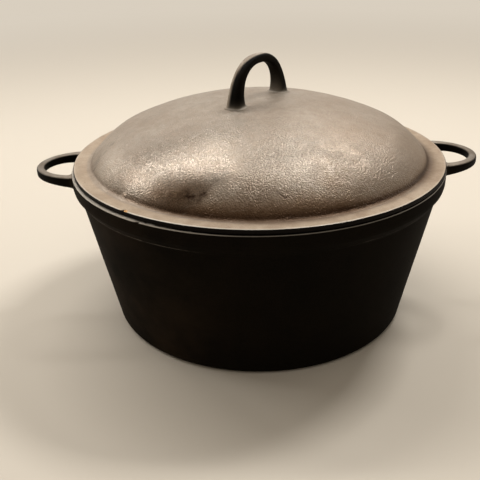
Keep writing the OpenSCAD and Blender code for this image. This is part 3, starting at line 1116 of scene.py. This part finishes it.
class MakeLid(bpy.types.Operator):
    """Turn the lid's casting with its nicks, burnt patches, painted shade and rusty chip"""

    bl_idname = "dutch_oven.make_lid"
    bl_label = "Make the Lid"

    def execute(self, context):
        pot, lid, finish = settings("pot", "lid", "finish")
        piece = turned_casting("lid_casting", lid_outline(lid, pot), edge_reach=0.8 * MM,
                               shift=lid.shift)
        make_wavy(piece, finish.waviness * 1.5, seed=41)
        chip = lid_place(lid, lid.radius / MM, -131.6)
        knock = lid_place(lid, 121.2, -138.5)
        dent(piece, chip, 2.8 * MM, 1.0 * MM, (0.5, 0.55, -0.6))
        dent(piece, knock, 3.4 * MM, 0.9 * MM, (0, 0, 1))
        points = mesh_points(piece)
        set_values(piece, rusty=bell(points, chip, 3.5 * MM)
                   + 0.6 * bell(points, knock, 1.5 * MM))
        self.paint_flange(piece, lid)
        self.paint_dome(piece, lid)
        seat(piece, lid_iron(finish, lid), "lid", "lid")
        return {"FINISHED"}

    def paint_flange(self, piece, lid):
        """Where the lid's edge is worn and takes a painted highlight, its foot is grimy and
        takes painted shade, and its flange is dry.
        """
        x, y, z = mesh_points(piece).T / MM
        x = x - lid.shift / MM
        radii = np.hypot(x, y)
        bearing = np.degrees(np.arctan2(y, x))
        edge = np.stack([radii - lid.radius / MM, z - Dome(lid).flange_top / MM], axis=1)
        bearings, strengths = zip(*RUBBED_EDGE_AND_HIGHLIGHT)
        rubbed = np.interp(bearing, bearings, strengths)

        # Grime and painted shade round the dome's foot, strongest at the front.
        bearings, *columns = zip(*GRIME_AND_SHADE)
        grime_and_shade, outward, inward = [np.interp(bearing, bearings, column) for column in columns]
        past = radii - (lid.radius - lid.flange_width) / MM
        core = np.exp(-(np.maximum(np.abs(past + 1) - 0.4, 0) / 0.5) ** 2)
        haze = np.exp(-((past + 1) / np.where(past + 1 > 0, outward, inward)) ** 2)
        outside = z > 117
        set_values(piece, exposure=bell(edge, (-1, 0), 0.6), rubbed=rubbed,
                   crease=(0.15 * core + 0.85 * haze) * grime_and_shade * outside,
                   dry=ramp(past, 1.6, 3.6) * outside)

    def paint_dome(self, piece, lid):
        """Where the lid is burnt, brown, pebbled and polished, and where painted shade lies on
        the dome's lower front and in a wedge on its left.
        """
        points = mesh_points(piece)
        x, y, z = points.T / MM
        flange = ramp(z, 119.5, 118.5)
        low = ramp(z, 134, 122)
        brown = np.clip(lid_marks(points, lid, BROWN_SPOTS), 0, 1)
        # Brown on the dome's lower front and right; on the front it also stands as painted
        # shade. The flange is browner away from the front.
        browned = np.maximum(low * ramp(-y, 92, 112), 0.5 * low * ramp(x, 30, 90))
        browned = np.maximum(np.maximum(browned, brown), 0.3 * ramp(x, 20, 100))
        browned = browned * (1 - flange) + 0.22 * ramp(y, -112, -42) * flange

        # A painted shade: a darker wedge on the dome's left, between this line and the dome's
        # foot.
        start = np.array(lid_place(lid, 104.5, -167.6))[:2]
        run = np.array(lid_place(lid, 120.2, -163.7))[:2] - start
        away = points[:, :2] - start
        along = away @ run / (run @ run)
        aside = (run[0] * away[:, 1] - run[1] * away[:, 0]) / np.linalg.norm(run) / MM
        shade = ramp(-aside, 0, 1) * np.exp(-np.abs(aside) / 9) * (z > 119)
        shade *= np.clip(2 - np.abs(along * 2 - 1), 0, 1)

        edge = np.interp(y, (-112, -92), (-48, -12)) + 14 * (ripples(points, 32 * MM, 43) - 0.5)
        right = ramp(x - edge, -11, 11)
        polished = (1 - right) * ramp(-y, 22, 57) * (1 - flange)
        pebbled = 0.32 - 0.2 * polished + 0.68 * right * ramp(-y, 38, 76)
        bright = bell(points, lid_place(lid, 93, -63), 13 * MM)
        # The burnt marks also carry half the painted shade of the wedge.
        set_values(piece, browned=browned,
                   burnt=np.maximum(lid_marks(points, lid, BURNT_SPOTS), 0.5 * shade),
                   polished=np.maximum(polished, 0.6 * bright),
                   pebbled=pebbled * (1 - 0.85 * flange))


class MakeLidHandle(bpy.types.Operator):
    """Loft the lid's loop and run its feet onto the dome"""

    bl_idname = "dutch_oven.make_lid_handle"
    bl_label = "Make the Lid Handle"

    def execute(self, context):
        lid, loop, finish = settings("lid", "loop", "finish")
        dome = Dome(lid)
        rings = turned_about_axis(loop_rings(loop, lid), loop.turn, lid.shift)
        piece = lofted_casting("lid_handle_casting", rings)

        def above(points):
            """Height of each point over the dome."""
            return points[:, 2] - dome.height(np.hypot(points[:, 0] - lid.shift, points[:, 1]))

        root_fillet(piece, above, loop.fillet, lid.apex + loop.rise)
        points = mesh_points(piece)
        climb = np.maximum(above(points), 0) / MM
        arch = np.array((math.cos(loop.turn), math.sin(loop.turn), 0))
        inner_side = np.clip(-mesh_normals(piece) @ arch, 0, 1) * (points @ arch > 0)
        # A painted reflection of the lid: the lid's colour round the foot fillets and up the
        # arch's inner sides.
        root = np.maximum(0.85 * np.exp(-climb / 1.2), 0.6 * inner_side * np.exp(-climb / 5))
        # The loop's top mask is a painted highlight along its rear outer edge.
        set_values(piece, top=self.lit_and_worn_edge(points, rings, loop.turn), root=root,
                   wavy=climb / 4)
        make_wavy(piece, finish.waviness, seed=61)
        material = grip_iron(finish, "Loop Iron", rubbed=0.95, root_tone=finish.lid_iron,
                             metal=0.25)
        seat(piece, material, "lid", "lid_handle")
        return {"FINISHED"}

    def lit_and_worn_edge(self, points, rings, turn):
        """A painted highlight along the rear part of the arch's outer face, partly rubbed wear.
        """
        centres = rings.mean(axis=1)
        back = np.array((-math.sin(turn), math.cos(turn), 0))
        outward = np.cross(np.gradient(centres, axis=0), back)
        outward /= np.linalg.norm(outward, axis=1)[:, None]
        away = points.reshape(rings.shape) - centres[:, None]
        rearward = away @ back
        rearward /= rearward.max(axis=1)[:, None]
        outer = np.sum(away * outward[:, None], axis=2)
        outer /= outer.max(axis=1)[:, None]
        start = 0.25 - 0.95 * np.clip(outward[:, 2:], 0, 1) ** 4
        return (ramp(rearward, start, start + 0.3) * ramp(outer, -0.1, 0.2)).ravel()


# ---- Stage ----------------------------------------------------------------------------------

WARM = (1.0, 0.965, 0.92)
WHITE = (0.97, 0.985, 1.0)
# Each soft lamp's name, ends, breadth, brightness of its face, where 1 is white, and tint.
LAMPS = (
    ("back_panel", (-2.8, 2.6, 1.45), (1.6, 2.6, 1.45), 1.7, 1.2, WARM),
    ("right_panel", (1.75, 1.5, 0.95), (2.1, 0.9, 0.75), 0.55, 2.4, WARM),
    ("left_panel", (-2.0, 1.1, 0.72), (-1.35, 1.75, 0.98), 0.55, 3.2, WARM),
    ("left_strip", (-1.18, 0.12, 0.8), (-0.92, 0.42, 0.98), 0.16, 20, WHITE),
    ("middle_strip", (-0.88, 0.47, 1.06), (0.1, 0.5, 1.13), 0.1, 28, WHITE),
    ("right_strip", (0.37, 0.46, 1.1), (0.64, 0.32, 1.03), 0.18, 62, WHITE),
)


def hang(name, data):
    """Puts a lamp or a camera in the scene."""
    holder = bpy.data.objects.new(name, data)
    bpy.context.scene.collection.objects.link(holder)
    return holder


def panel_lamp(name, start, end, breadth, glow, tint):
    """A soft lamp stretched from start to end and turned to the lid."""
    start = Vector(start)
    run = Vector(end) - start
    middle = start + run / 2
    lamp = bpy.data.lights.new(name, "AREA")
    lamp.shape = "RECTANGLE"
    lamp.size = run.length
    lamp.size_y = breadth
    lamp.energy = glow * math.pi * run.length * breadth
    lamp.color = tint
    along = run.normalized()
    back = middle - Vector((0, 0, LID_HIGH.z))
    back = (back - along * back.dot(along)).normalized()
    holder = hang(name, lamp)
    holder.rotation_euler = Matrix((along, back.cross(along), back)).transposed().to_euler()
    holder.location = middle
    holder.visible_camera = False


def studio_sky(stage):
    """A plain sky that is pale at the horizon and dimmer overhead."""
    world = bpy.data.worlds.new("Studio")
    world.use_nodes = True
    tree = world.node_tree
    towards = Field(put(tree, "ShaderNodeTexCoord"), "Generated")
    up = towards.then("ShaderNodeSeparateXYZ", {"Vector": towards}, "Z")
    low_sky = seen_ray(tree).between(stage.level, stage.backdrop)
    fill(tree.nodes["Background"],
         {"Color": (*stage.horizon, 1),
          "Strength": up.eased(0.0, 0.6, low_sky, 0.3 * stage.level)})
    return world


class SetStage(bpy.types.Operator):
    """Lay the floor, hang the lamps and stand the camera"""

    bl_idname = "dutch_oven.set_stage"
    bl_label = "Set the Stage"

    def execute(self, context):
        [stage] = settings("stage")
        scene = context.scene
        half = stage.floor_size / 2
        corners = np.array([(-half, -half, 0), (half, -half, 0), (half, half, 0),
                            (-half, half, 0)])
        floor = mesh_object("floor", corners, [(0, 1, 2, 3)])
        floor.data.materials.append(plain_floor(stage))

        for name, start, end, breadth, glow, tint in LAMPS:
            panel_lamp(name, start, end, breadth, glow * stage.level, tint)
        sun = bpy.data.lights.new("high_sun", "SUN")
        sun.energy = 0.6 * stage.level
        sun.angle = math.radians(50)
        sun.color = WARM
        hang("high_sun", sun).rotation_euler.x = math.radians(28)
        scene.world = studio_sky(stage)

        camera = bpy.data.cameras.new("camera")
        camera.lens = stage.lens
        camera.sensor_width = 36
        stand = hang("camera", camera)
        stand.location = stage.camera_place
        stand.rotation_euler = stage.camera_turn
        scene.camera = stand
        scene.view_settings.view_transform = "Standard"
        return {"FINISHED"}


# ---- Add-on ---------------------------------------------------------------------------------

class DutchOvenPanel(bpy.types.Panel):
    """Buttons and settings of the cooking pot"""

    bl_idname = "VIEW3D_PT_dutch_oven"
    bl_label = "Dutch Oven"
    bl_space_type = "VIEW_3D"
    bl_region_type = "UI"
    bl_category = "Dutch Oven"

    def draw(self, context):
        layout = self.layout
        for operator in OPERATORS:
            layout.operator(operator.bl_idname)
        for name, group in SETTINGS.items():
            box = layout.box()
            box.label(text=group.__doc__)
            for setting in group.__annotations__:
                box.prop(getattr(context.scene, name), setting)


OPERATORS = (SetStage, MakePot, MakeSideHandles, MakeLid, MakeLidHandle)
CLASSES = (*SETTINGS.values(), *OPERATORS, DutchOvenPanel)


def register():
    for made in CLASSES:
        bpy.utils.register_class(made)
    for name, group in SETTINGS.items():
        setattr(bpy.types.Scene, name, bpy.props.PointerProperty(type=group))


def unregister():
    for name in SETTINGS:
        delattr(bpy.types.Scene, name)
    for made in reversed(CLASSES):
        bpy.utils.unregister_class(made)


def main():
    """Builds the whole pot."""
    register()
    bpy.ops.dutch_oven.set_stage()
    bpy.ops.dutch_oven.make_pot()
    bpy.ops.dutch_oven.make_side_handles()
    bpy.ops.dutch_oven.make_lid()
    bpy.ops.dutch_oven.make_lid_handle()


if __name__ == "__main__":
    main()
